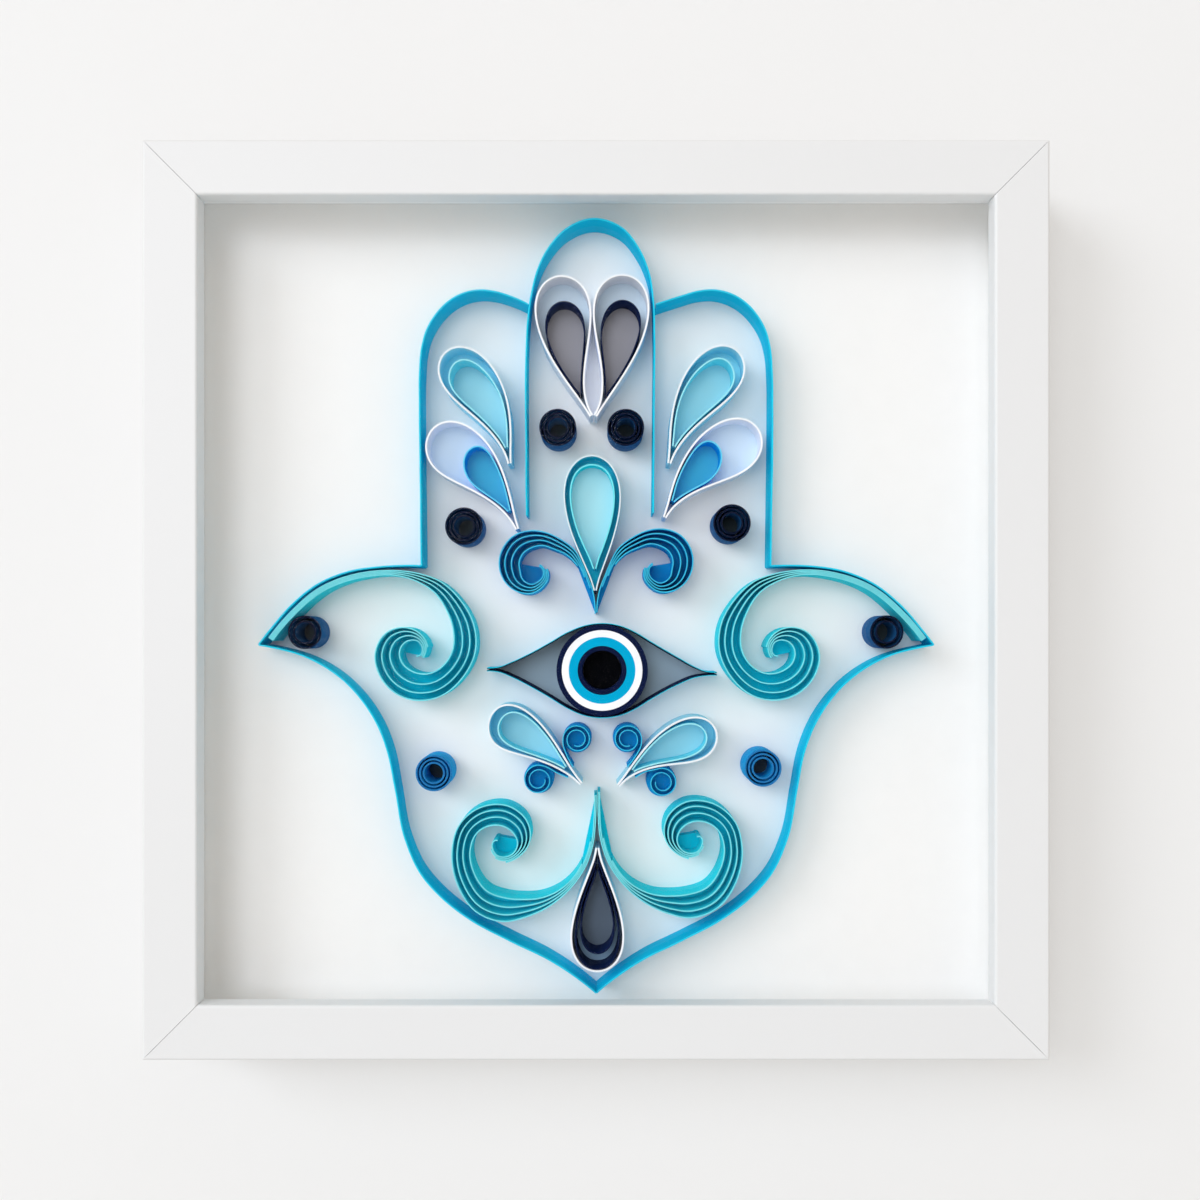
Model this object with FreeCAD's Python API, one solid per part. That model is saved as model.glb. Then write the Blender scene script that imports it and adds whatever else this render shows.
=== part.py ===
# Framed quilled paper art: strips of coloured paper stand on edge on a white
# mount board, in a deep white box frame. Millimetres; X to the right, Z up,
# the front looks along -Y, and the origin is under the middle of the frame.
import os
from math import cos, hypot, radians, sin

import FreeCAD, Part
from FreeCAD import Vector

# Driving dimensions of the frame.
frame_width = 250.0
frame_height = 253.5
frame_depth = 30.0
face_width = 15.2
lip_thickness = 5.0
rail_wall = 7.7
edge_round = 0.8
mitre_gap = 0.1

# Driving dimensions of what the frame holds, from the glazing back.
glazing_thickness = 2.0
spacer_thickness = 2.0
spacer_depth = 11.4
mount_thickness = 1.5
backboard_thickness = 3.0
seat_gap = 0.1
side_play = 0.6

# Driving dimensions of the paper.
strip_height = 10.0
outline_paper = 0.45
white_paper = 0.55
drop_paper = 0.4
scroll_paper = 0.33
curl_paper = 0.33
roll_paper = 0.55
glue_gap = 0.05
tail_gap = 0.08

# The motifs are drawn for an opening of this width and are scaled to fit.
drawn_opening = 219.6

opening_width = frame_width - 2 * face_width
opening_height = frame_height - 2 * face_width
art_scale = min(opening_width / drawn_opening, opening_height / (drawn_opening + 3.5))

front = -frame_depth / 2
back = frame_depth / 2
lip_back = front + lip_thickness
glazing_front = lip_back + seat_gap
glazing_back = glazing_front + glazing_thickness
spacer_front = glazing_back + seat_gap
spacer_back = spacer_front + spacer_depth
mount_front = spacer_back + seat_gap
mount_back = mount_front + mount_thickness
backboard_front = mount_back + seat_gap
backboard_back = backboard_front + backboard_thickness

panel_width = frame_width - 2 * (rail_wall + side_play)
panel_height = frame_height - 2 * (rail_wall + side_play)
middle_z = frame_height / 2

parts = {}


# Lines in the plane of the mount board. A point is a complex number, x + z * 1j,
# so that a turn is a product, and -1j times a direction points to its right.
def unit(vector):
    return vector / abs(vector)


def along(vector, direction):
    return (vector * direction.conjugate()).real


def directions(points):
    """At each point, the direction of the circle through it and its neighbours."""
    chords = [b - a for a, b in zip(points, points[1:])]
    inner = [unit(unit(a) * abs(b) + unit(b) * abs(a)) for a, b in zip(chords, chords[1:])]
    first = unit(chords[0]) ** 2 / inner[0]
    last = unit(chords[-1]) ** 2 / inner[-1]
    return [first] + inner + [last]


def beside(points, distance):
    """The points moved to the right of the line."""
    return [p - 1j * way * distance for p, way in zip(points, directions(points))]


def arcs_through(points):
    """One arc for each span, as three (point, direction) pairs."""
    ways = directions(points)
    arcs = []
    for p, q, leave, arrive in zip(points, points[1:], ways, ways[1:]):
        straight = unit(q - p)
        bulge = (leave - arrive) * abs(q - p) / (4 + 2 * along(leave + arrive, straight))
        arcs.append(((p, leave), ((p + q) / 2 + bulge, straight), (q, arrive)))
    return arcs


def spine(tip, bend, crown, t):
    """A point on a drop's curved middle line, and the direction there."""
    point = (1 - t) ** 2 * tip + 2 * t * (1 - t) * bend + t**2 * crown
    return point, unit((1 - t) * (bend - tip) + t * (crown - bend))


def swell(t, fullness):
    """Rises from 0 at a drop's tip to 1 where it is widest, and falls to 0."""
    widest = fullness / (fullness + 0.5)
    return (t / widest) ** fullness * ((1 - t) / (1 - widest)) ** 0.5


def drop_half_width(width, fullness, pitch, t):
    return width / 2 * swell(t, fullness) + pitch / 2 * (1 - t) ** 1.5


def drop_line(tip, bend, crown, width, fullness, pitch, steps=16):
    """A teardrop from its tip round the crown and back, tails side by side."""
    line = []
    for i in range(steps + 1):
        side = 2 * i / steps - 1
        point, way = spine(tip, bend, crown, 1 - side**2)
        half = drop_half_width(width, fullness, pitch, 1 - side**2)
        line.append(point - 1j * way * (half if side > 0 else -half))
    return line


def nested_line(outer, pitch, start, reach, width, lean, steps=16):
    """A smaller teardrop that leans on the inside of an outer one."""
    tip, bend, crown, outer_width, fullness = outer
    line = []
    for i in range(steps + 1):
        side = 2 * i / steps - 1
        sign = 1 if side > 0 else -1
        t = start + (reach - start) * (1 - side**2)
        room = drop_half_width(outer_width, fullness, pitch, t) - pitch
        spare = room - width / 2
        shift = lean * (spare + hypot(spare, width / 10)) / 2
        own = width / 2 * swell(1 - side**2, 1.3) + pitch / 2 * abs(side) ** 3
        limit = max(room - sign * shift, pitch / 2)
        own = own * limit / (own**6 + limit**6) ** (1 / 6)
        point, way = spine(tip, bend, crown, t)
        line.append(point - 1j * way * (shift + sign * own))
    return line


def scroll_lines(eye, stations, strips, pitch):
    """Fanned strips of a scroll; a station is an angle, a radius and a spread."""
    lines = []
    inward = pitch if stations[-1][0] < stations[0][0] else -pitch
    for i, (share, first, last) in enumerate(strips):
        line = [
            eye + (radius - share * spread) * turned(angle)
            for angle, radius, spread in stations
        ]
        lines.append(beside(line, i * inward)[first:last])
    return lines


def turned(degrees):
    return complex(cos(radians(degrees)), sin(radians(degrees)))


def spiral_line(centre, outer, inner, turns, start=0.0, per_turn=8):
    """An even spiral from the outside in; negative turns run clockwise."""
    count = round(abs(turns) * per_turn)
    return [
        centre + (outer + (inner - outer) * i / count) * turned(start + 360 * turns * i / count)
        for i in range(count + 1)
    ]


def mirrored(points, axis, lift=0.0):
    return [2 * axis - point.conjugate() + 1j * lift for point in points]


# Solids. The art scales with the opening, and the paper's thickness does not.
def placed(point):
    return Vector(point.real * art_scale, mount_front, middle_z + point.imag * art_scale)


def bent_edge(start, middle, end):
    """An arc through three points, or a line where they leave no bend."""
    if abs(along(middle - start, 1j * unit(end - start))) < 0.001:
        return Part.makeLine(placed(start), placed(end))
    return Part.Arc(placed(start), placed(middle), placed(end)).toShape()


def crease(before, after, distance):
    """The mitred corner where two stretches of one strip meet."""
    leave, arrive = directions(before)[-1], directions(after)[0]
    return after[0] - 1j * (leave + arrive) * distance / (1 + along(leave, arrive))


def side_edges(stretches, distance):
    """One face of the paper, seen from above: arcs moved sideways, creases mitred."""
    edges = []
    for i, line in enumerate(stretches):
        arcs = [
            [point - 1j * way * distance for point, way in arc] for arc in arcs_through(line)
        ]
        if i > 0:
            arcs[0][0] = crease(stretches[i - 1], line, distance)
        if i < len(stretches) - 1:
            arcs[-1][2] = crease(line, stretches[i + 1], distance)
        edges += [bent_edge(*arc) for arc in arcs]
    return edges


def strip(stretches, paper):
    """One strip of paper on edge; creases come between its stretches."""
    half = paper / 2 / art_scale
    right, left = side_edges(stretches, half), side_edges(stretches, -half)
    start = Part.makeLine(right[0].firstVertex().Point, left[0].firstVertex().Point)
    end = Part.makeLine(right[-1].lastVertex().Point, left[-1].lastVertex().Point)
    outline = Part.Wire(right + [end] + left[::-1] + [start])
    return Part.Face(outline).extrude(Vector(0, -strip_height, 0))


def ring(centre, outer, inner, height):
    """A tight roll seen as one ring or disc; its radii scale with the art."""
    roll, *hole = [
        Part.makeCylinder(radius * art_scale, height, placed(centre), Vector(0, -1, 0))
        for radius in (outer, inner) if radius > 0
    ]
    return roll.cut(hole[0]) if hole else roll


def block(width, depth, height, x, y, z):
    """A box centred on x, its near face at y and its underside at z."""
    return Part.makeBox(width, depth, height, Vector(x - width / 2, y, z))


def around_frame(shape, quarter):
    """A shape of the bottom side, turned to one of the four sides."""
    turned = shape.copy()
    turned.rotate(Vector(0, 0, middle_z), Vector(0, 1, 0), -90 * quarter)
    return turned


# The frame: four mitred rails of one moulding.
def moulding(length):
    """The rail's section, from the outer edge inward, drawn out along X."""
    section = [
        (front, 0), (back, 0), (back, rail_wall), (lip_back, rail_wall), (lip_back, face_width),
        (front, face_width),
    ]
    rail = Part.Face(Part.makePolygon(
        [Vector(-length / 2, y, z) for y, z in section + section[:1]]
    )).extrude(Vector(length, 0, 0))
    rounded = [
        edge for edge in rail.Edges
        if edge.BoundBox.XLength > length / 2 and edge.CenterOfMass.y < front + 0.01
    ]
    return rail.makeFillet(edge_round, rounded)


def mitre_wedge(length, reach):
    """The triangle in front view that the rail may fill, up to its mitres."""
    half = length / 2 - mitre_gap / 2 * 2**0.5
    corners = [(-half, 0), (half, 0), (half - reach, reach), (-half + reach, reach)]
    return Part.Face(Part.makePolygon(
        [Vector(x, front - 1, z) for x, z in corners + corners[:1]]
    )).extrude(Vector(0, frame_depth + 2, 0))


nail_wing = 3.6
nail_gauge = 0.8
nail_height = 8.0
nail_fit = 0.05


def v_nail(grow=0.0):
    """A V-nail across the bottom left mitre, its point towards the opening."""
    middle = rail_wall / 2
    wing, gauge = nail_wing + grow, nail_gauge / 2 + grow
    corner_x = -frame_width / 2 + middle
    bars = []
    for turn in (0, 90):
        length = nail_height + 2 * grow
        bar = block(2 * gauge, length, wing + gauge, 0, back - nail_height - grow, -gauge)
        bar.rotate(Vector(0, 0, 0), Vector(0, 1, 0), turn)
        bar.translate(Vector(corner_x, 0, middle))
        bars.append(bar)
    return bars[0].fuse(bars[1]).removeSplitter()


point_width = 9.0
point_gauge = 0.6
point_length = 12.0
point_bite = 5.0


def framer_point(grow=0.0):
    """A steel point pressed into the bottom rail, behind the backboard."""
    half = point_width / 2 + grow
    neck = rail_wall - point_bite / 2
    outline = [
        (-half, rail_wall + point_length - point_bite + grow), (-half, neck),
        (0, rail_wall - point_bite - grow), (half, neck),
        (half, rail_wall + point_length - point_bite + grow),
    ]
    y = backboard_back + seat_gap - grow
    plate = Part.Face(Part.makePolygon([Vector(x, y, z) for x, z in outline + outline[:1]]))
    return plate.extrude(Vector(0, point_gauge + 2 * grow, 0))


def fasteners(maker, grow=0.0):
    """Copies of one fastener for the four sides or corners, centred like the frame."""
    shapes = []
    for quarter in range(4):
        side = frame_width if quarter % 2 == 0 else frame_height
        slack = (side - frame_width) / 2
        lift = 0 if quarter % 2 == 0 else (frame_height - frame_width) / 2
        spots = (0,) if maker is v_nail else (-side / 4, side / 4)
        for spot in spots:
            shape = maker(grow)
            shape.translate(Vector(spot - (slack if maker is v_nail else 0), 0, lift))
            shapes.append(around_frame(shape, quarter))
    return shapes


def rails():
    cutters = Part.makeCompound(fasteners(v_nail, nail_fit) + fasteners(framer_point, nail_fit))
    for quarter, name in enumerate(("bottom", "right", "top", "left")):
        length = frame_width if quarter % 2 == 0 else frame_height
        rail = moulding(length).common(mitre_wedge(length, face_width + 1))
        lift = 0 if quarter % 2 == 0 else (frame_height - frame_width) / 2
        rail.translate(Vector(0, 0, lift))
        parts[name + "_rail"] = around_frame(rail, quarter).cut(cutters)


# What lies in the rabbet.
def panel(y, thickness, inset=0.0):
    width, height = panel_width - 2 * inset, panel_height - 2 * inset
    return block(width, thickness, height, 0, y, middle_z - height / 2)


def spacers():
    strips = []
    for side in (-1, 1):
        underside = middle_z + (side * (panel_height - spacer_thickness) - spacer_thickness) / 2
        strips.append(block(panel_width, spacer_depth, spacer_thickness, 0, spacer_front, underside))
        tall = panel_height - 2 * (spacer_thickness + seat_gap)
        x = side * (panel_width - spacer_thickness) / 2
        strips.append(block(spacer_thickness, spacer_depth, tall, x, spacer_front, middle_z - tall / 2))
    return Part.makeCompound(strips)


hanger_length = 46.0
hanger_height = 8.0
hanger_gauge = 0.8
hanger_rise = 1.6
hanger_z = frame_height - 42.0
rivet_radius = 1.1


def hanger():
    """A sawtooth hanger: a strip raised in the middle, teeth along its underside."""
    seat = backboard_back + seat_gap / 2
    foot, ramp = 7.0, 3.0
    half = hanger_length / 2
    low = [(-half, 0), (-half + foot, 0), (-half + foot + ramp, hanger_rise)]
    low += [(-x, rise) for x, rise in reversed(low)]
    high = [(x, rise + hanger_gauge) for x, rise in reversed(low)]
    section = [Vector(x, seat + rise, hanger_z) for x, rise in low + high]
    plate = Part.Face(Part.makePolygon(section + section[:1])).extrude(Vector(0, 0, hanger_height))
    tooth, count = 2.0, 11
    for i in range(count):
        x = (i - (count - 1) / 2) * tooth
        corners = [(x - tooth * 0.45, -0.1), (x + tooth * 0.45, -0.1), (x, tooth * 0.8)]
        notch = Part.makePolygon([
            Vector(x, seat, hanger_z + rise) for x, rise in corners + corners[:1]
        ])
        plate = plate.cut(Part.Face(notch).extrude(Vector(0, 2 * hanger_rise + hanger_gauge, 0)))
    for x, y, z in rivet_spots():
        hole = Part.makeCylinder(rivet_radius + glue_gap, 4, Vector(x, y - 1, z), Vector(0, 1, 0))
        plate = plate.cut(hole)
    return plate


def rivet_spots():
    seat = backboard_back + seat_gap / 2
    x, z = hanger_length / 2 - 3.5, hanger_z + hanger_height / 2
    return [(-x, seat, z), (x, seat, z)]


def rivet(x, y, z):
    """A rivet through the plate and the backboard, its head chamfered."""
    along_y = Vector(0, 1, 0)
    head_y = y + hanger_gauge + glue_gap
    head = Part.makeCylinder(2.1, 0.9, Vector(x, head_y, z), along_y)
    head = head.makeChamfer(0.35, [edge for edge in head.Edges if edge.BoundBox.YMin > head_y + 0.5])
    reach = head_y - backboard_front + 0.1
    stem = Part.makeCylinder(rivet_radius, reach, Vector(x, backboard_front, z), along_y)
    return stem.fuse(head).removeSplitter()


def rabbet_parts():
    parts["glazing_sheet"] = panel(glazing_front, glazing_thickness)
    parts["spacers"] = spacers()
    parts["mount_board"] = panel(mount_front, mount_thickness)
    bore_radius, along_y = rivet_radius + glue_gap, Vector(0, 1, 0)
    bores = [
        Part.makeCylinder(bore_radius, backboard_thickness, Vector(x, backboard_front, z), along_y)
        for x, y, z in rivet_spots()
    ]
    parts["backboard"] = panel(backboard_front, backboard_thickness).cut(Part.makeCompound(bores))
    parts["framer_points"] = Part.makeCompound(fasteners(framer_point))
    parts["corner_v_nails"] = Part.makeCompound(fasteners(v_nail))
    parts["hanger"] = hanger()
    parts["hanger_rivets"] = Part.makeCompound([rivet(*spot) for spot in rivet_spots()])


# The hand's outline. Points are millimetres from the opening's centre.
finger_points = [
    -19.7 + 24.3j, -19.8 + 42j, -19.9 + 56j, -19.8 + 70j, -19.4 + 79j, -18.4 + 87j, -16.6 + 94j,
    -13.5 + 100j, -8.5 + 105.4j, -0.7 + 108.3j, 7 + 105.9j, 12 + 100j, 15 + 93j, 16.3 + 85j,
    16.6 + 76j, 16.5 + 56j, 16.4 + 42j, 16.2 + 24.9j,
]
palm_points = [
    -19.3 + 84.1j, -24.4 + 86.4j, -28.8 + 87.7j, -33.5 + 88.1j, -38 + 87.1j, -42 + 84.8j,
    -45.3 + 81.4j, -48 + 76.8j, -49.4 + 71.5j, -49.9 + 65j, -50 + 54j, -49.9 + 42j, -49.7 + 26j,
    -49.5 + 9.9j,
]
thumb_points = [
    -49.5 + 9.9j, -55.5 + 10j, -61.5 + 9.7j, -70 + 8.4j, -78.5 + 5j, -86.7 - 1.6j, -92.2 - 8j,
    -95.7 - 12.5j,
]
wrist_points = [
    -95.7 - 12.5j, -89.5 - 13.7j, -83.8 - 15.3j, -78.2 - 17.9j, -72.5 - 21.8j, -66.8 - 27.6j,
    -62 - 35j, -58.9 - 43.1j, -56.9 - 53.3j, -54.1 - 67.7j, -49.9 - 77j, -44.2 - 83.6j,
    -35.7 - 90.2j, -24.4 - 96.2j, -13.1 - 101.8j, -4.8 - 107.3j, -0.5 - 110.9j,
]
hand_axis = 0.0
right_palm_start = 17 + 84j

# Teardrops: tip, bend, crown, width and how full the tip end is.
drops = {
    "heart_petal_left": (-1.5 + 52.5j, -9.3 + 64.8j, -9.9 + 92.1j, 15.5, 2.1),
    "heart_petal_right": (-0.15 + 52.5j, 7.5 + 65.2j, 7.4 + 92.4j, 15.5, 2.1),
    "upper_drop_outer_left": (-24.5 + 39j, -27.2 + 56.9j, -43.1 + 69.9j, 14.2, 1.5),
    "upper_drop_outer_right": (20.8 + 39j, 24.9 + 57.7j, 40.7 + 70.2j, 14.2, 1.5),
    "lower_drop_outer_left": (-22.4 + 20.4j, -29.3 + 38.2j, -47.4 + 47j, 15.2, 1.6),
    "lower_drop_outer_right": (19.4 + 23.6j, 26.6 + 39.6j, 46.4 + 47.5j, 15.2, 1.6),
    "leaf_outer_left": (-4.3 - 51.8j, -16.4 - 38.1j, -30.2 - 33.6j, 12.6, 1.7),
    "leaf_outer_right": (6.3 - 52.4j, 15.8 - 40.8j, 34.3 - 37.6j, 12.2, 1.9),
    "centre_drop_outer": (-0.3 + 3j, -0.9 + 19.5j, -1.3 + 41.2j, 15.9, 1.35),
    "bottom_drop_outer": (0.4 - 70j, 0.4 - 85.2j, 0.3 - 105j, 14.8, 1.5),
}
# Teardrops inside others: outer one, where it starts and ends on the outer
# one's middle line, width, and how far it leans to the right.
nested_drops = {
    "heart_inner_left": ("heart_petal_left", 0.22, 0.86, 11.6, 0.1),
    "heart_inner_right": ("heart_petal_right", 0.22, 0.86, 11.6, 0.3),
    "upper_drop_inner_left": ("upper_drop_outer_left", 0.13, 0.9, 11.2, -0.6),
    "upper_drop_inner_right": ("upper_drop_outer_right", 0.13, 0.9, 11.2, 0.6),
    "lower_drop_inner_left": ("lower_drop_outer_left", 0.15, 0.7, 9.6, 0.8),
    "lower_drop_inner_right": ("lower_drop_outer_right", 0.15, 0.7, 9.6, -0.8),
    "leaf_inner_left": ("leaf_outer_left", 0.18, 0.9, 10, 0.3),
    "leaf_inner_right": ("leaf_outer_right", 0.2, 0.92, 9.8, -0.3),
    "centre_drop_inner": ("centre_drop_outer", 0.18, 0.94, 13.4, 0.0),
    "bottom_drop_liner": ("bottom_drop_outer", 0.12, 0.985, 14, 0.0),
    "bottom_drop_inner": ("bottom_drop_outer", 0.2, 0.87, 9.6, 0.0),
}
white_drops = ("heart_petal", "upper_drop_outer", "lower_drop_outer", "leaf_outer", "bottom_drop_outer")

# Tight rolls: centre, radius and radius of the hole.
coils = {
    "coil_finger_left": (-10.9 + 49.2j, 5.1, 1.5),
    "coil_finger_right": (8.4 + 49.2j, 5.1, 1.5),
    "coil_palm_left": (-37.5 + 21.2j, 5.3, 1.5),
    "coil_palm_right": (38.5 + 22.1j, 5.3, 1.5),
    "coil_thumb_left": (-82.6 - 8.9j, 5.1, 1.5),
    "coil_thumb_right": (82.4 - 8.8j, 5.1, 1.5),
    "coil_base_left": (-46 - 48.8j, 5.2, 2.0),
    "coil_base_right": (47.3 - 47.4j, 5.3, 2.0),
}
coil_turns = 3
eye_centre = 1.7 - 19.7j
eye_rings = {
    "eye_ring_navy": (12.9, 11.5),
    "eye_ring_white": (11.4, 9.5),
    "eye_ring_cyan": (9.4, 7.0),
    "eye_ring_inner": (6.9, 5.7),
}
pupil_radius = 5.6
pupil_height = 2.5
eye_top_points = [
    -31 - 19.1j, -27.8 - 18.9j, -23.8 - 17.4j, -18.7 - 15j, -13.1 - 11.9j, -8 - 8.9j,
    -3.4 - 7.1j, 1.7 - 6.4j, 6.8 - 7.1j, 11.3 - 9.1j, 15.3 - 11.6j, 23.8 - 16.6j,
    28 - 18.9j, 31.1 - 20.1j, 34.2 - 20.3j,
]
eye_bottom_points = [
    -31 - 19.8j, -27.8 - 20j, -23.8 - 21.5j, -18.7 - 24.1j, -13.1 - 27.3j, -8 - 30.4j,
    -3.4 - 32.4j, 1.7 - 33.1j, 6.8 - 32.4j, 11.3 - 30.4j, 15.3 - 27.9j, 23.8 - 23.3j,
    28 - 21.6j, 31.1 - 21.1j, 34.2 - 21j,
]

# Scrolls on the left: eye, stations of angle, radius and spread, and for each
# strip its share of the spread, its first station and the one after its last.
thumb_scroll = {
    "eye": -51.6 - 14.5j,
    "stations": [
        (174.5, 41.3, 0), (162, 36.7, 0), (145, 32.2, 0), (124, 27.1, 0), (100, 23.4, 0.2),
        (86, 22.2, 1.1), (70, 21.3, 2.3), (48, 19.6, 3.8), (25, 18.5, 4.9), (0, 17.2, 5.2),
        (-28, 15.5, 5.3), (-62, 14.4, 6.1), (-100, 13.2, 6.6), (-142, 11.9, 6.1), (-180, 11, 5.6),
        (-216, 9.5, 4.4), (-260, 6.8, 2.1), (-300, 5, 0.6), (-340, 4.1, 0.3), (-395, 3.4, 0.3),
        (-440, 2.7, 0.3),
    ],
    "strips": [(0, 0, 19), (0.27, 0, 20), (0.6, 0, 20), (1, 0, 21)],
}
centre_scroll = {
    "eye": -18.4 + 8.7j,
    "stations": [
        (-34, 21.9, 0), (-16, 17.8, 0), (-6, 15.9, 0), (8, 14.4, 0.2), (24, 13.5, 1.2),
        (47, 12, 2.1), (70, 11.4, 2.6), (92, 11.2, 3.6), (120, 10.9, 4.4), (154, 9.8, 4.6),
        (187, 8.6, 4.2), (215, 7.8, 3.1), (243, 7.1, 2.1), (273, 6.5, 1.2), (300, 5.8, 0.7),
        (340, 5.1, 0.2), (365, 4.5, 0), (400, 3.6, 0),
    ],
    "strips": [(0, 0, 17), (0.27, 1, 17), (0.6, 2, 18), (1, 3, 18)],
}
lower_scroll = {
    "eye": -26.4 - 69.7j,
    "stations": [
        (29, 30.2, 0), (18, 27.7, 0), (3, 25.7, 0), (-13, 24.1, 0), (-35, 22.2, 0.4), (-55, 21.2, 2),
        (-73, 20.9, 4), (-88, 21.1, 5.4), (-111, 19.9, 5.4), (-140, 16.7, 4.5), (-174, 14.5, 3.9),
        (-208, 13.8, 4.2), (-242, 12.8, 4.6), (-280, 11.6, 4.7), (-316, 9.8, 3.8), (-353, 7.4, 2),
        (-400, 5, 0.4), (-440, 4.5, 0.3), (-485, 4.2, 0), (-525, 4.2, 0), (-560, 4.4, 0),
        (-590, 4, 0), (-612, 3, 0),
    ],
    "strips": [(0, 0, 18), (0.27, 0, 19), (0.6, 2, 20), (1, 3, 23)],
}
scroll_pairs = {
    "thumb_scroll": (thumb_scroll, 0.3, 0.0),
    "centre_scroll": (centre_scroll, 0.0, 0.4),
    "lower_scroll": (lower_scroll, 0.3, 1.0),
}

# Small curls: centre, radius, start of the roll in degrees, turns, and the tail.
curls = {
    "curl_upper_left": (-5.4 - 39.2j, 4.1, 190, -2.6, [-6.5 - 47j, -8.3 - 43.8j]),
    "curl_upper_right": (8.9 - 39.2j, 4.1, -14, 2.6, [8.9 - 47j, 10.9 - 44.4j]),
    "curl_lower_left": (-16.4 - 50.7j, 4.3, 62, 2.6, [-8 - 50j, -11.2 - 48.6j]),
    "curl_lower_right": (18.7 - 51.6j, 4.3, 118, -2.6, [11.1 - 50.05j, 13.75 - 48.5j]),
}
curl_hole = 1.0


def outline_parts():
    parts["outline_middle_finger"] = strip([finger_points], outline_paper)
    left = [palm_points, thumb_points, wrist_points]
    right = [mirrored(points, hand_axis) for points in left]
    right[0][0] = right_palm_start
    parts["outline_left"] = strip(left, outline_paper)
    parts["outline_right"] = strip(right, outline_paper)
    lids = [strip([points], drop_paper) for points in (eye_top_points, eye_bottom_points)]
    parts["eye_outline"] = Part.makeCompound(lids)


def drop_parts():
    for name, shape in drops.items():
        paper = white_paper if name.startswith(white_drops) else drop_paper
        pitch = (paper + tail_gap) / art_scale
        parts[name] = strip([drop_line(*shape, pitch)], paper)
    for name, (outer, start, reach, width, lean) in nested_drops.items():
        pitch = (white_paper + tail_gap) / art_scale
        line = nested_line(drops[outer], pitch, start, reach, width, lean)
        parts[name] = strip([line], drop_paper)


def roll_parts():
    for name, (centre, radius, hole) in coils.items():
        half = roll_paper / 2 / art_scale
        line = spiral_line(centre, radius - half, hole + half, coil_turns)
        parts[name] = strip([line], roll_paper)
    for name, (outer, inner) in eye_rings.items():
        parts[name] = ring(eye_centre, outer, inner, strip_height)
    parts["eye_pupil"] = ring(eye_centre, pupil_radius, 0, pupil_height)


def scroll_parts():
    pitch = (scroll_paper + tail_gap) / art_scale
    for name, (scroll, axis, lift) in scroll_pairs.items():
        lines = scroll_lines(scroll["eye"], scroll["stations"], scroll["strips"], pitch)
        twins = [mirrored(line, axis, lift) for line in lines]
        for side, group in (("left", lines), ("right", twins)):
            solids = [strip([line], scroll_paper) for line in group]
            parts[f"{name}_{side}"] = Part.makeCompound(solids)


def curl_parts():
    for name, (centre, radius, start, turns, tail) in curls.items():
        roll = spiral_line(centre, radius, curl_hole, turns, start)
        parts[name] = strip([tail + roll], curl_paper)


rails()
rabbet_parts()
outline_parts()
drop_parts()
roll_parts()
scroll_parts()
curl_parts()

os.makedirs("parts", exist_ok=True)
for name, shape in parts.items():
    shape.exportStep(f"parts/{name}.step")
print(len(parts), "nodes")
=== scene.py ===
# %% [markdown]
# # A hand of quilled paper in a white box frame
#
# Quilling is drawing with strips of paper that stand on edge. The strips are bent, rolled and
# glued by their feet to a white board, and a deep frame leaves room for their height. The model
# has the frame, the boards and the glass already, with plain forms of every strip. Here the
# strips are made again in finer paper, and everything gets its surface, its light and a camera.
#
# The first step loads the model. Nothing in it is moved: the strips are built to its sizes.

# %% Load the model
from math import ceil, cos, hypot, pi, radians, sin
import bpy
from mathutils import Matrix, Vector


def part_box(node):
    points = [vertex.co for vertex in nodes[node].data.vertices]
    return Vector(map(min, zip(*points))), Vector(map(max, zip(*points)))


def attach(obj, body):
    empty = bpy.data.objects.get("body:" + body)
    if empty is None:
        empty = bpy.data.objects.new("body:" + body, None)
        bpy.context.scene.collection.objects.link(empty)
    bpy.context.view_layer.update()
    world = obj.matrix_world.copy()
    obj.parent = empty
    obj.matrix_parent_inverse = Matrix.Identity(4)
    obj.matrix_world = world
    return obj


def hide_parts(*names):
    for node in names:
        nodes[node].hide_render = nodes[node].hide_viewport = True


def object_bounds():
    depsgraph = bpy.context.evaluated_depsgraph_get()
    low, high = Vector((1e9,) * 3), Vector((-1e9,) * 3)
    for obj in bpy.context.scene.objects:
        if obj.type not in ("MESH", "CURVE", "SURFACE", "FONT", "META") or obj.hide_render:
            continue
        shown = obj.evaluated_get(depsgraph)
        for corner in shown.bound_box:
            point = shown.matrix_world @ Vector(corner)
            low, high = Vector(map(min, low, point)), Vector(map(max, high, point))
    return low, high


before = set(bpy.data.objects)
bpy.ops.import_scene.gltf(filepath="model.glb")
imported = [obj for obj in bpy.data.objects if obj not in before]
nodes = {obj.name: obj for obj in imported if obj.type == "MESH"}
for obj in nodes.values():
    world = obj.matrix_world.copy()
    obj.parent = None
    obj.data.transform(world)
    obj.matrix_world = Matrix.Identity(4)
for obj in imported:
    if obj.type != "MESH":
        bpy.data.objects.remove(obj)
solid_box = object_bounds()
print(len(nodes), "nodes in the model")

# %% [markdown]
# The picture was taken close to the wall, from the middle of the frame and a little below it.
# Standing so near makes the strips lean outward in the view: the walls that face the middle of
# the picture show, and the ones that face away do not. So the distance matters more here than
# the lens. The opening fills two thirds of the picture's width.

# %% The camera
mm = 0.001
camera = bpy.data.objects.new("camera", bpy.data.cameras.new("camera"))
camera.location = (1.1 * mm, -308 * mm, 118 * mm)
camera.rotation_euler = (pi / 2, 0, 0)
camera.data.lens = 31.95
camera.data.sensor_width = 36
camera.data.shift_y = 0.0265
camera.data.clip_start = 0.01
bpy.context.scene.collection.objects.link(camera)
bpy.context.scene.camera = camera
bpy.context.scene.view_settings.view_transform = "Standard"
print("camera", round(-camera.location.y / mm), "mm in front of the frame's middle")

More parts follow.
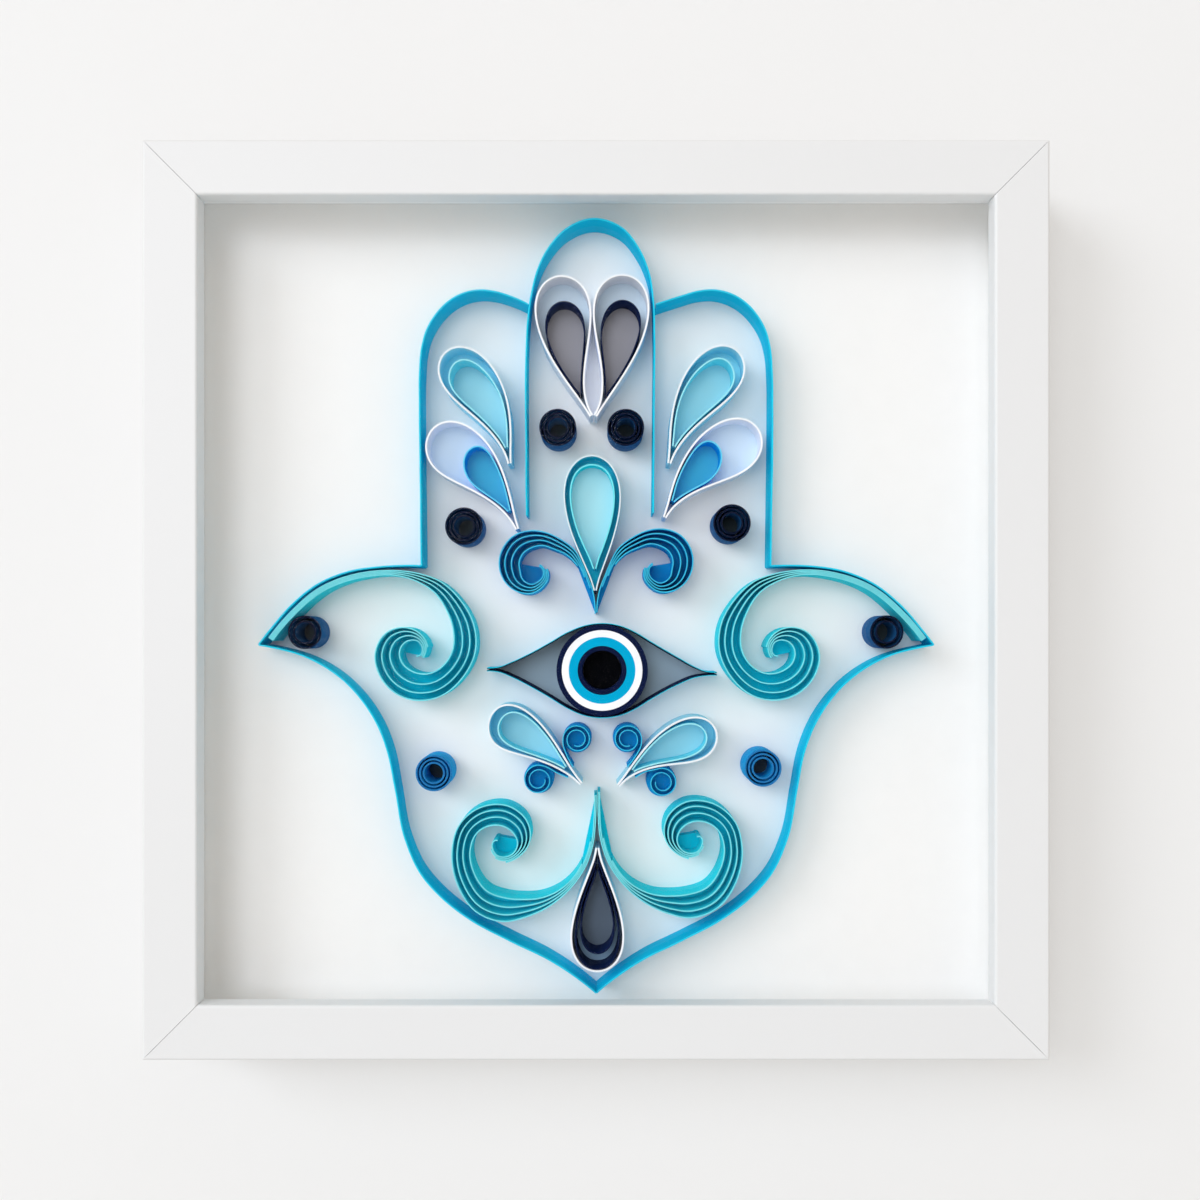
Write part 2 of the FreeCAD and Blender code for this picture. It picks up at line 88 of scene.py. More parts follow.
# %% [markdown]
# The frame hangs on a white wall, so close that the wall would hide the back of the frame and
# keep all light off it. So the wall's paint is only there for the camera, and only from the
# front: Light Path and Backfacing tell the shader who looks, and from which side. A pale floor
# lies below, out of the picture.


# %% The wall and the floor
def sheet(name, corners):
    """A flat stage piece through four corners, which face the way they are listed."""
    mesh = bpy.data.meshes.new(name)
    mesh.from_pydata(corners, [], [(0, 1, 2, 3)])
    thing = bpy.data.objects.new(name, mesh)
    bpy.context.scene.collection.objects.link(thing)
    return thing


def one_sided(name, colour, only_seen=False):
    """Matt paint that is only there from the front, and on request only for the camera."""
    material = bpy.data.materials.new(name)
    material.use_nodes = True
    tree = material.node_tree
    paint = tree.nodes["Principled BSDF"]
    paint.inputs["Base Color"].default_value = (*colour, 1)
    paint.inputs["Roughness"].default_value = 0.9
    paint.inputs["Specular IOR Level"].default_value = 0.1
    clear = tree.nodes.new("ShaderNodeBsdfTransparent")
    side = tree.nodes.new("ShaderNodeNewGeometry")
    path = tree.nodes.new("ShaderNodeLightPath")
    seen = tree.nodes.new("ShaderNodeMath")
    seen.operation = "GREATER_THAN"
    either = tree.nodes.new("ShaderNodeMixShader")
    seen.inputs[0].default_value = 1
    if only_seen:
        tree.links.new(path.outputs["Is Camera Ray"], seen.inputs[0])
    tree.links.new(side.outputs["Backfacing"], seen.inputs[1])
    tree.links.new(seen.outputs[0], either.inputs[0])
    tree.links.new(clear.outputs[0], either.inputs[1])
    tree.links.new(paint.outputs[0], either.inputs[2])
    tree.links.new(either.outputs[0], tree.nodes["Material Output"].inputs["Surface"])
    return material


wall_y = solid_box[1][1] + 0.6 * mm
half_room, room_depth, room_height, floor_z = 2, -2.5, 2.5, -60 * mm
wall = sheet("wall", [
    (-half_room, wall_y, floor_z), (half_room, wall_y, floor_z),
    (half_room, wall_y, room_height), (-half_room, wall_y, room_height),
])
wall.data.materials.append(one_sided("wall paint", (0.86, 0.858, 0.853), only_seen=True))
floor = sheet("floor", [
    (-half_room, room_depth, floor_z), (half_room, room_depth, floor_z),
    (half_room, wall_y, floor_z), (-half_room, wall_y, floor_z),
])
floor.data.materials.append(one_sided("floor paint", (0.82, 0.82, 0.81)))
print("wall", round(wall_y / mm, 1), "mm behind the frame's middle plane")

# %% [markdown]
# Soft daylight comes from the upper left: the inside of the frame has a wide soft shadow along
# its left and top, and the frame's own shadow falls to the right and below. Two large area
# lights give that, one nearly in front and one at the side, and an even world light, a little
# warmer than they are, fills the shadows. A third light only reaches the back of the frame.
# Together they light a flat surface at a level of about one, so a colour shows as it is written.
# Deep between the strips the light gets only by going from wall to wall, so more bounces are
# allowed than usual. Rare very bright bounces would leave white dots, so they are held down.

# %% The light
middle_of_frame = Vector((0, 0, (solid_box[0][2] + solid_box[1][2]) / 2))
lamp_colour = (0.97, 1.035, 1.13)


def soft_light(name, place, width, power):
    """A round area light of this width in metres and power in watts, aimed at the frame."""
    lamp = bpy.data.lights.new(name, "AREA")
    lamp.shape, lamp.size, lamp.energy, lamp.color = "DISK", width, power, lamp_colour
    holder = bpy.data.objects.new(name, lamp)
    holder.location = place
    holder.rotation_euler = (middle_of_frame - Vector(place)).to_track_quat("-Z", "Y").to_euler()
    bpy.context.scene.collection.objects.link(holder)


soft_light("window", (-1.15, -4.2, 1.1), 2.6, 51.5)
soft_light("side window", (-5.1, -4.2, 2.78), 3.6, 152)
soft_light("fill behind", (0, 4.5, 0.3), 2.6, 75)
world = bpy.data.worlds.new("room")
world.use_nodes = True
room_light = world.node_tree.nodes["Background"]
room_light.inputs["Color"].default_value = (1.0, 0.935, 0.855, 1)
room_light.inputs["Strength"].default_value = 0.63
bpy.context.scene.world = world
bpy.context.scene.cycles.diffuse_bounces = 12
bpy.context.scene.cycles.sample_clamp_indirect = 2
print("two windows, a light for the back and an even room light")

# %% [markdown]
# A quilled drawing is a set of lines on the board, so the lines come first. A point is a complex
# number, x + z * 1j, in millimetres from the middle of the opening: then a turn is a product,
# and -1j times a direction points to its right. Only a few points of each line are written down.
# `smooth` fills in the rest with a curve that passes each point in the direction of the circle
# through it and its neighbours, which is how a springy strip bends.


# %% Lines
def unit(vector):
    return vector / abs(vector)


def turned(degrees):
    return complex(cos(radians(degrees)), sin(radians(degrees)))


def directions(points):
    """At each point, the direction of the circle through it and its neighbours."""
    chords = [b - a for a, b in zip(points, points[1:])]
    inner = [unit(unit(a) * abs(b) + unit(b) * abs(a)) for a, b in zip(chords, chords[1:])]
    first = unit(chords[0]) ** 2 / inner[0]
    last = unit(chords[-1]) ** 2 / inner[-1]
    return [first] + inner + [last]


def beside(points, distance):
    """The points moved to the right of the line."""
    return [p - 1j * way * distance for p, way in zip(points, directions(points))]


def smooth(points, step=0.5):
    """Points about one step apart on the bent line through the given ones."""
    ways = directions(points)
    line = [points[0]]
    for p, q, leave, arrive in zip(points, points[1:], ways, ways[1:]):
        count = max(2, ceil(abs(q - p) / step))
        for i in range(1, count + 1):
            t = i / count
            pull = abs(q - p) * (leave * t * (1 - t) ** 2 - arrive * t * t * (1 - t))
            line.append(p * (1 + 2 * t) * (1 - t) ** 2 + q * t * t * (3 - 2 * t) + pull)
    return line


def folded(stretches, fold=0.35):
    """One strip of several stretches, with a sharp but rounded fold between them."""
    line = smooth(stretches[0])
    for stretch in stretches[1:]:
        corner, after = stretch[0], smooth(stretch)
        while abs(line[-1] - corner) < fold:
            line.pop()
        while abs(after[0] - corner) < fold:
            after.pop(0)
        a, b = line[-1], after[0]
        line += [a * (1 - t) ** 2 + 2 * t * (1 - t) * corner + b * t * t for t in (0.25, 0.5, 0.75)]
        line += after
    return line


def mirrored(points, axis, lift=0.0):
    """The points on the other side of an upright axis, and raised by the lift."""
    return [2 * axis - point.conjugate() + 1j * lift for point in points]


quarter = smooth([10 * turned(degrees) for degrees in (0, 30, 60, 90)])
print("a quarter circle of", len(quarter), "points, made from 4")

# %% [markdown]
# All the paper in the picture is one idea: a strip of some thickness and height that follows a
# line, standing on the board. That is a job for Geometry Nodes, where one tree makes every strip.
# A tree here takes a line, some sizes and a material, and works flat, as on a table. It ends in
# the same nodes as the others: they stand the piece up on the board, make it real and give it
# its paper.


# %% What the trees share
def new_tree(name, sizes):
    """A tree with a line, its sizes and a material as inputs, and its input node."""
    tree = bpy.data.node_groups.new(name, "GeometryNodeTree")
    sockets = tree.interface
    sockets.new_socket("Line", in_out="INPUT", socket_type="NodeSocketGeometry")
    for size in (*sizes, "Board", "Middle"):
        sockets.new_socket(size, in_out="INPUT", socket_type="NodeSocketFloat")
    sockets.new_socket("Material", in_out="INPUT", socket_type="NodeSocketMaterial")
    sockets.new_socket("Piece", in_out="OUTPUT", socket_type="NodeSocketGeometry")
    return tree, tree.nodes.new("NodeGroupInput")


def node(tree, kind, label, **settings):
    """A new node with a label that says what it is for."""
    made = tree.nodes.new(kind)
    made.label = label
    for key, value in settings.items():
        setattr(made, key, value)
    return made


def connect(tree, links):
    for output, entry in links:
        tree.links.new(output, entry)


def hang_up(tree, given, piece):
    """What pointed up from the table now points at the viewer, and wears its material."""
    spot = node(tree, "ShaderNodeCombineXYZ", "spot")
    hung = node(tree, "GeometryNodeTransform", "stand on the board")
    hung.inputs["Rotation"].default_value = (pi / 2, 0, 0)
    real = node(tree, "GeometryNodeRealizeInstances", "realize")
    dressed = node(tree, "GeometryNodeSetMaterial", "paper")
    result = node(tree, "NodeGroupOutput", "result")
    connect(tree, [
        (given.outputs["Board"], spot.inputs["Y"]),
        (given.outputs["Middle"], spot.inputs["Z"]),
        (spot.outputs[0], hung.inputs["Translation"]),
        (piece, hung.inputs["Geometry"]),
        (hung.outputs["Geometry"], real.inputs["Geometry"]),
        (real.outputs["Geometry"], dressed.inputs["Geometry"]),
        (given.outputs["Material"], dressed.inputs["Material"]),
        (dressed.outputs["Geometry"], result.inputs["Piece"]),
    ])


board_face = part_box("mount_board")[0].y
middle_z = (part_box("mount_board")[0].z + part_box("mount_board")[1].z) / 2
strip_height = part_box("outline_left")[1].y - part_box("outline_left")[0].y
print("strips", round(strip_height / mm, 2), "mm high on a board at", round(board_face / mm, 2))

# %% [markdown]
# The tree of a strip sweeps a small rectangle along the line: as wide as the paper, as tall as
# the strip, and with its corners taken off, because cut paper is never quite sharp.

# %% The section of the paper
corner_share = 0.15


def paper_section(tree, given):
    """The trimmed rectangle, with its foot on the line."""
    section = node(tree, "GeometryNodeCurvePrimitiveQuadrilateral", "section")
    corner = node(tree, "ShaderNodeMath", "cut corner", operation="MULTIPLY")
    corner.inputs[1].default_value = corner_share
    trimmed = node(tree, "GeometryNodeFilletCurve", "trim corners", mode="POLY")
    trimmed.inputs["Count"].default_value = 1
    down = node(tree, "ShaderNodeMath", "half down", operation="MULTIPLY")
    down.inputs[1].default_value = -0.5
    shift = node(tree, "ShaderNodeCombineXYZ", "shift")
    standing = node(tree, "GeometryNodeTransform", "foot on the line")
    connect(tree, [
        (given.outputs["Paper"], section.inputs["Width"]),
        (given.outputs["Height"], section.inputs["Height"]),
        (given.outputs["Paper"], corner.inputs[0]),
        (section.outputs["Curve"], trimmed.inputs["Curve"]),
        (corner.outputs[0], trimmed.inputs["Radius"]),
        (given.outputs["Height"], down.inputs[0]),
        (down.outputs[0], shift.inputs["Y"]),
        (trimmed.outputs["Curve"], standing.inputs["Geometry"]),
        (shift.outputs[0], standing.inputs["Translation"]),
    ])
    return standing.outputs["Geometry"]


print("corners trimmed by", corner_share, "of the paper's thickness")

# %% [markdown]
# Handmade strips aren't dead upright, so the tree lets the top edges sway a little, while the
# foot stays where it is glued. The sway is read from a noise at the place itself, which makes
# strips that touch sway together instead of cutting through each other.

# %% The sway of the top edges
noise_scale = 38


def swaying(tree, given, strip):
    """Moves each point a little, mostly sideways, and more the higher it stands."""
    place = node(tree, "GeometryNodeInputPosition", "place")
    noise = node(tree, "ShaderNodeTexNoise", "slow noise", noise_dimensions="2D")
    noise.inputs["Scale"].default_value = noise_scale
    noise.inputs["Detail"].default_value = 1
    centred = node(tree, "ShaderNodeVectorMath", "both ways", operation="SUBTRACT")
    centred.inputs[1].default_value = (0.5, 0.5, 0.5)
    sideways = node(tree, "ShaderNodeVectorMath", "mostly sideways", operation="MULTIPLY")
    sideways.inputs[1].default_value = (1, 1, 0.5)
    here = node(tree, "ShaderNodeSeparateXYZ", "height here")
    share = node(tree, "ShaderNodeMath", "share of the height", operation="DIVIDE")
    amount = node(tree, "ShaderNodeMath", "how far", operation="MULTIPLY")
    offset = node(tree, "ShaderNodeVectorMath", "sway", operation="SCALE")
    swayed = node(tree, "GeometryNodeSetPosition", "move")
    connect(tree, [
        (place.outputs[0], noise.inputs["Vector"]),
        (noise.outputs["Color"], centred.inputs[0]),
        (centred.outputs[0], sideways.inputs[0]),
        (place.outputs[0], here.inputs[0]),
        (here.outputs["Z"], share.inputs[0]),
        (given.outputs["Height"], share.inputs[1]),
        (share.outputs[0], amount.inputs[0]),
        (given.outputs["Sway"], amount.inputs[1]),
        (sideways.outputs[0], offset.inputs[0]),
        (amount.outputs[0], offset.inputs["Scale"]),
        (strip, swayed.inputs["Geometry"]),
        (offset.outputs[0], swayed.inputs["Offset"]),
    ])
    return swayed.outputs["Geometry"]


print("the sway turns about every", round(1 / noise_scale / mm), "mm")

# %% [markdown]
# A strip should look smooth along its bend and crisp at its cut edges. The angle between two
# faces tells them apart: along the bend it is small, at a trimmed corner it is large.

# %% The whole strip
cut_edge_angle = 0.6


def crisp_edges(tree, strip):
    """Smooth faces, but for the edges where they meet at more than the cut edge's angle."""
    angle = node(tree, "GeometryNodeInputMeshEdgeAngle", "edge angle")
    sharp = node(tree, "ShaderNodeMath", "is it a cut edge", operation="GREATER_THAN")
    sharp.inputs[1].default_value = cut_edge_angle
    all_smooth = node(tree, "GeometryNodeSetShadeSmooth", "smooth faces")
    crisp = node(tree, "GeometryNodeSetShadeSmooth", "sharp cut edges", domain="EDGE")
    crisp.inputs["Shade Smooth"].default_value = False
    connect(tree, [
        (angle.outputs["Unsigned Angle"], sharp.inputs[0]),
        (strip, all_smooth.inputs["Geometry"]),
        (all_smooth.outputs["Geometry"], crisp.inputs["Geometry"]),
        (sharp.outputs[0], crisp.inputs["Selection"]),
    ])
    return crisp.outputs["Geometry"]


def paper_strip_tree():
    """The section swept along the line, swaying, crisp and stood on the board."""
    tree, given = new_tree("paper strip", ("Paper", "Height", "Sway"))
    level = node(tree, "GeometryNodeSetCurveNormal", "keep it upright", mode="Z_UP")
    sweep = node(tree, "GeometryNodeCurveToMesh", "sweep")
    sweep.inputs["Fill Caps"].default_value = True
    connect(tree, [
        (given.outputs["Line"], level.inputs["Curve"]),
        (level.outputs[0], sweep.inputs["Curve"]),
        (paper_section(tree, given), sweep.inputs["Profile Curve"]),
    ])
    swayed = swaying(tree, given, sweep.outputs["Mesh"])
    hang_up(tree, given, crisp_edges(tree, swayed))
    return tree


strip_tree = paper_strip_tree()
print("the tree of a strip has", len(strip_tree.nodes), "nodes")

# %% [markdown]
# Between the strips the board is not left white: pieces of card lie on it inside the drops, the
# fans, the curls and the eye, and their colours are painted light, painted bounce light off the
# coloured strips and painted shade in the dark hollows. Filling a line gives such a piece, and
# pulling the filled face up gives it a thickness, so that its cut edge closes it all round.


# %% A piece of card inside a line
def inlay_tree():
    """The filled line pulled up to a sheet, with its underside welded on."""
    tree, given = new_tree("card inlay", ("Thickness",))
    fill = node(tree, "GeometryNodeFillCurve", "fill the line")
    thick = node(tree, "GeometryNodeExtrudeMesh", "pull it up")
    thick.inputs["Individual"].default_value = False
    under = node(tree, "GeometryNodeFlipFaces", "underside")
    both = node(tree, "GeometryNodeJoinGeometry", "both together")
    welded = node(tree, "GeometryNodeMergeByDistance", "weld the rim")
    welded.inputs["Distance"].default_value = 0.001 * mm
    connect(tree, [
        (given.outputs["Line"], fill.inputs["Curve"]),
        (fill.outputs["Mesh"], thick.inputs["Mesh"]),
        (given.outputs["Thickness"], thick.inputs["Offset Scale"]),
        (fill.outputs["Mesh"], under.inputs["Mesh"]),
        (thick.outputs["Mesh"], both.inputs["Geometry"]),
        (under.outputs["Mesh"], both.inputs["Geometry"]),
        (both.outputs["Geometry"], welded.inputs["Geometry"]),
    ])
    hang_up(tree, given, welded.outputs["Geometry"])
    return tree


sheet_tree = inlay_tree()
print("the tree of a card has", len(sheet_tree.nodes), "nodes")

# %% [markdown]
# A piece starts as a curve object with its lines flat on the table and a tree on it as a
# modifier. Only the evaluated mesh is kept and the curve goes, so the piece is a plain mesh. It
# then rides on the model and takes the place of the model's plainer nodes.


# %% Build a piece from its lines
def build(name, lines, closed, tree, sizes, material, replaced):
    """Runs a tree on some lines and keeps its mesh as one piece of the picture."""
    curve = bpy.data.curves.new(name + "_line", "CURVE")
    curve.dimensions = "3D"
    for line in lines:
        spline = curve.splines.new("POLY")
        spline.use_cyclic_u = closed
        spline.points.add(len(line) - 1)
        for point, spot in zip(spline.points, line):
            point.co = (spot.real * mm, spot.imag * mm, 0, 1)
    path = bpy.data.objects.new(name + "_line", curve)
    bpy.context.scene.collection.objects.link(path)
    modifier = path.modifiers.new("paper", "NODES")
    modifier.node_group = tree
    values = sizes | {"Board": board_face, "Middle": middle_z, "Material": material}
    for socket in tree.interface.items_tree:
        if socket.name in values:
            modifier[socket.identifier] = values[socket.name]
    seen = path.evaluated_get(bpy.context.evaluated_depsgraph_get())
    mesh = bpy.data.meshes.new_from_object(seen)
    mesh.name = name
    bpy.data.objects.remove(path)
    piece = bpy.data.objects.new(name, mesh)
    bpy.context.scene.collection.objects.link(piece)
    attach(piece, "root")
    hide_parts(*replaced)
    print(name, len(mesh.polygons), "faces")


def stand(name, lines, paper, material, replaced, height=strip_height, sway=0.35,
          closed=False):
    """Stands lines of paper on the board as one piece, in place of nodes of the model."""
    sizes = {"Paper": paper * mm, "Height": height, "Sway": sway * mm}
    build(name, lines, closed, strip_tree, sizes, material, replaced)


def lay(name, outline, material, thickness=0.15):
    """Lays a piece of card with this outline on the board."""
    build(name, [outline], True, sheet_tree, {"Thickness": thickness * mm}, material, [])


print("two ways to make a piece: stand lines up or lay an outline down")

# %% [markdown]
# Quilling paper is dyed through and a little satin. Its cut edge faces the light and the viewer,
# so it looks lighter than the walls below it, which see mostly each other. That light and shade
# is painted here: each paper has a wall colour, painted shade, and an edge colour, a painted
# highlight. Two shared groups make the paper: one gives fine fibres, the other is 1 on the front
# edges and 0 below them, and picks the painted edge colour. Card has the same fibres, but no
# edge of its own.


# %% Shader groups for paper
def edge_group():
    """Tells the front edges of the strips from their walls, for the painted edge colour."""
    tree = bpy.data.node_groups.new("front edge", "ShaderNodeTree")
    tree.interface.new_socket("Mask", in_out="OUTPUT", socket_type="NodeSocketFloat")
    result = tree.nodes.new("NodeGroupOutput")
    place = tree.nodes.new("ShaderNodeTexCoord")
    parts = tree.nodes.new("ShaderNodeSeparateXYZ")
    ramp = tree.nodes.new("ShaderNodeMapRange")
    ramp.inputs["From Min"].default_value = board_face - strip_height + 0.42 * mm
    ramp.inputs["From Max"].default_value = board_face - strip_height + 0.3 * mm
    tree.links.new(place.outputs["Object"], parts.inputs[0])
    tree.links.new(parts.outputs["Y"], ramp.inputs["Value"])
    tree.links.new(ramp.outputs[0], result.inputs["Mask"])
    return tree


def fibre_group():
    """Short paper fibres: a value for the colour and a height for the relief."""
    tree = bpy.data.node_groups.new("paper fibres", "ShaderNodeTree")
    for name in ("Scale", "Mottle"):
        tree.interface.new_socket(name, in_out="INPUT", socket_type="NodeSocketFloat")
    for name in ("Shade", "Relief"):
        tree.interface.new_socket(name, in_out="OUTPUT", socket_type="NodeSocketFloat")
    given = tree.nodes.new("NodeGroupInput")
    result = tree.nodes.new("NodeGroupOutput")
    place = tree.nodes.new("ShaderNodeTexCoord")
    broad = tree.nodes.new("ShaderNodeTexNoise")
    broad.inputs["Scale"].default_value = 160
    broad.inputs["Detail"].default_value = 3
    fine = tree.nodes.new("ShaderNodeTexNoise")
    fine.inputs["Detail"].default_value = 4
    fine.inputs["Roughness"].default_value = 0.65
    centred = tree.nodes.new("ShaderNodeMath")
    centred.operation = "SUBTRACT"
    centred.inputs[1].default_value = 0.5
    shade = tree.nodes.new("ShaderNodeMath")
    shade.operation = "MULTIPLY_ADD"
    shade.inputs[2].default_value = 1
    for noise in (broad, fine):
        tree.links.new(place.outputs["Object"], noise.inputs["Vector"])
    tree.links.new(given.outputs["Scale"], fine.inputs["Scale"])
    tree.links.new(broad.outputs["Fac"], centred.inputs[0])
    tree.links.new(centred.outputs[0], shade.inputs[0])
    tree.links.new(given.outputs["Mottle"], shade.inputs[1])
    tree.links.new(shade.outputs[0], result.inputs["Shade"])
    tree.links.new(fine.outputs["Fac"], result.inputs["Relief"])
    return tree


front_edge, paper_fibres = edge_group(), fibre_group()
print("groups:", front_edge.name, "and", paper_fibres.name)


# %% Paper and card
def hue(red, green, blue):
    """A colour as a picture editor shows it, 0 to 255, in Blender's linear values."""
    return tuple(
        ((c / 255 + 0.055) / 1.055) ** 2.4 if c > 10 else c / 255 / 12.92
        for c in (red, green, blue)
    )


def new_material(name, colour, roughness, specular=0.5):
    material = bpy.data.materials.new(name)
    material.use_nodes = True
    surface = material.node_tree.nodes["Principled BSDF"]
    surface.inputs["Base Color"].default_value = (*colour, 1)
    surface.inputs["Roughness"].default_value = roughness
    surface.inputs["Specular IOR Level"].default_value = specular
    material.diffuse_color = (*colour, 1)
    return material, material.node_tree, surface


def bumped(tree, surface, height, depth, strength):
    """Lets a height of this depth in millimetres tilt the surface."""
    bump = tree.nodes.new("ShaderNodeBump")
    bump.inputs["Strength"].default_value = strength
    bump.inputs["Distance"].default_value = depth * mm
    tree.links.new(height, bump.inputs["Height"])
    tree.links.new(bump.outputs[0], surface.inputs["Normal"])


def fibres(tree, surface, colour, scale, mottle, depth):
    """Adds the fibres' shade to a colour or an output, and their relief to the surface."""
    group = tree.nodes.new("ShaderNodeGroup")
    group.node_tree = paper_fibres
    group.inputs["Scale"].default_value = scale
    group.inputs["Mottle"].default_value = mottle
    shaded = tree.nodes.new("ShaderNodeVectorMath")
    shaded.operation = "SCALE"
    if isinstance(colour, tuple):
        shaded.inputs[0].default_value = colour
    else:
        tree.links.new(colour, shaded.inputs[0])
    tree.links.new(group.outputs["Shade"], shaded.inputs["Scale"])
    tree.links.new(shaded.outputs[0], surface.inputs["Base Color"])
    bumped(tree, surface, group.outputs["Relief"], depth, 0.5)


def strip_paper(name, wall, edge, through=0.5):
    """Paper whose walls and cut edges get different colours, which paint the light and shade on
    them.
    """
    material, tree, surface = new_material(name, hue(*wall), 0.7, 0.03)
    surface.inputs["Subsurface Weight"].default_value = through
    surface.inputs["Subsurface Scale"].default_value = 0.8 * mm
    surface.inputs["Subsurface Radius"].default_value = (1, 1, 1)
    mask = tree.nodes.new("ShaderNodeGroup")
    mask.node_tree = front_edge
    mix = tree.nodes.new("ShaderNodeMix")
    mix.data_type = "RGBA"
    for socket in mix.inputs:
        if socket.name == "A" and socket.type == "RGBA":
            socket.default_value = (*hue(*wall), 1)
        if socket.name == "B" and socket.type == "RGBA":
            socket.default_value = (*hue(*edge), 1)
    tree.links.new(mask.outputs["Mask"], mix.inputs["Factor"])
    colour = [socket for socket in mix.outputs if socket.type == "RGBA"][0]
    fibres(tree, surface, colour, 1800, 0.25, 0.03)
    return material


# Each paper's first colour is for its walls and the second for its cut edge: painted shade below and
# a painted highlight on top. On the navy, dark roll and blue ring papers the edge is painted darker
# than the walls instead.
sky_paper = strip_paper("sky paper", (0, 184, 220), (36, 204, 234))
teal_paper = strip_paper("teal paper", (40, 212, 228), (124, 232, 242))
turquoise_paper = strip_paper("turquoise paper", (0, 208, 226), (120, 234, 244))
lagoon_paper = strip_paper("turquoise paper with a painted white edge highlight", (40, 204, 226), (232, 248, 252))
blue_paper = strip_paper("blue paper", (0, 144, 208), (60, 192, 232))
azure_paper = strip_paper("azure paper", (0, 160, 232), (100, 210, 245))
pale_paper = strip_paper("pale blue paper", (110, 222, 240), (160, 236, 248))
plain_paper = strip_paper("white paper", (238, 243, 252), (250, 252, 255), 0)
# White paper whose walls are painted cyan: painted bounce light off the blue strips beside it.
cyan_bounce_white_paper = strip_paper("white paper with painted cyan bounce", (168, 230, 246), (246, 251, 255))
navy_paper = strip_paper("navy paper", (16, 36, 84), (14, 26, 62), 0)
roll_paper = strip_paper("dark roll paper", (30, 90, 142), (14, 22, 46), 0)
ring_paper = strip_paper("blue ring paper", (20, 150, 215), (36, 120, 180))
cyan_paper = strip_paper("cyan paper", (0, 172, 216), (0, 172, 216), 0)
black_paper = strip_paper("black paper", (6, 8, 14), (6, 8, 14), 0)


def card(name, colour):
    """Smooth card of one colour."""
    material, tree, surface = new_material(name, colour, 0.85, 0.2)
    fibres(tree, surface, colour, 900, 0.03, 0.02)
    return material


# These cards' colours are painted light between the strips: the pale, blue and teal cards are
# painted bounce light off the coloured strips, the lilac card painted bluish shade inside the white
# drops, and the grey, slate, dusk, night blue and dark cards painted shade in the dark hollows.
pale_card = card("pale blue card", hue(172, 226, 236))
cyan_bounce_card = card("card with painted cyan bounce", hue(164, 240, 250))
lilac_card = card("lilac card", hue(214, 232, 244))
azure_card = card("azure card", hue(76, 202, 226))
water_card = card("water blue card", hue(182, 232, 240))
lagoon_card = card("lagoon card", hue(40, 206, 228))
grey_card = card("grey card", hue(171, 171, 180))
slate_card = card("slate card", hue(176, 204, 222))
dusk_card = card("dusk blue card", hue(150, 185, 215))
night_card = card("night blue card", hue(108, 124, 142))
teal_card = card("teal card", hue(0, 206, 226))
blue_card = card("blue card", hue(0, 142, 202))
dark_card = card("dark card", hue(52, 66, 70))
print("fourteen strip papers and thirteen cards")

# %% [markdown]
# The hand's outline is three strips. One runs up, over and down the middle finger. The other two
# start at its sides, go over the outer fingers, fold at the root of the thumb, fold again at its
# tip and meet at the point below. A fold in paper isn't perfectly sharp, so `folded` rounds it.

# %% The hand's outline
outline_paper = 0.45
finger_points = [
    -19.7 + 24.3j, -19.8 + 42j, -19.9 + 56j, -19.8 + 70j, -19.4 + 79j, -18.4 + 87j, -16.6 + 94j,
    -13.5 + 100j, -8.5 + 105.4j, -0.7 + 108.3j, 7 + 105.9j, 12 + 100j, 15 + 93j, 16.3 + 85j,
    16.6 + 76j, 16.5 + 56j, 16.4 + 42j, 16.2 + 24.9j,
]
palm_points = [
    -19.3 + 84.1j, -24.4 + 86.4j, -28.8 + 87.7j, -33.5 + 88.1j, -38 + 87.1j, -42 + 84.8j,
    -45.3 + 81.4j, -48 + 76.8j, -49.4 + 71.5j, -49.9 + 65j, -50 + 54j, -49.9 + 42j, -49.7 + 26j,
    -49.5 + 9.9j,
]
thumb_points = [
    -49.5 + 9.9j, -55.5 + 10j, -61.5 + 9.7j, -70 + 8.4j, -78.5 + 5j, -86.7 - 1.6j, -92.2 - 8j,
    -95.7 - 12.5j,
]
wrist_points = [
    -95.7 - 12.5j, -89.5 - 13.7j, -83.8 - 15.3j, -78.2 - 17.9j, -72.5 - 21.8j, -66.8 - 27.6j,
    -62 - 35j, -58.9 - 43.1j, -56.9 - 53.3j, -54.1 - 67.7j, -49.9 - 77j, -44.2 - 83.6j,
    -35.7 - 90.2j, -24.4 - 96.2j, -13.1 - 101.8j, -4.8 - 107.3j, -0.05 - 111.2j,
]
left_outline = [palm_points, thumb_points, wrist_points]
right_outline = [mirrored(points, 0) for points in left_outline]
right_outline[0][0] = 17 + 84j  # on the finger's right side, which isn't the mirror of its left
stand("middle_finger", [smooth(finger_points)], outline_paper, sky_paper,
      ["outline_middle_finger"])
for side, stretches in (("left", left_outline), ("right", right_outline)):
    stand(side + "_outline", [folded(stretches)], outline_paper, sky_paper,
          ["outline_" + side])

# %% [markdown]
# A teardrop is a loose coil pinched at one end. Its line starts at the tip, goes round the crown
# and comes back beside its own start. The middle line is a simple curve through a tip, a bend
# and a crown; the width along it rises from nothing to its full measure and closes in a round
# end. A second, smaller drop leans on the inside of the first, never nearer than the paper is
# thick.


# %% Teardrop lines
def spine(tip, bend, crown, t):
    """A point on a drop's curved middle line, and the direction there."""
    point = (1 - t) ** 2 * tip + 2 * t * (1 - t) * bend + t**2 * crown
    return point, unit((1 - t) * (bend - tip) + t * (crown - bend))


def swell(t, fullness):
    """Rises from 0 at a drop's tip to 1 where it is widest, and falls to 0."""
    widest = fullness / (fullness + 0.5)
    return (t / widest) ** fullness * ((1 - t) / (1 - widest)) ** 0.5


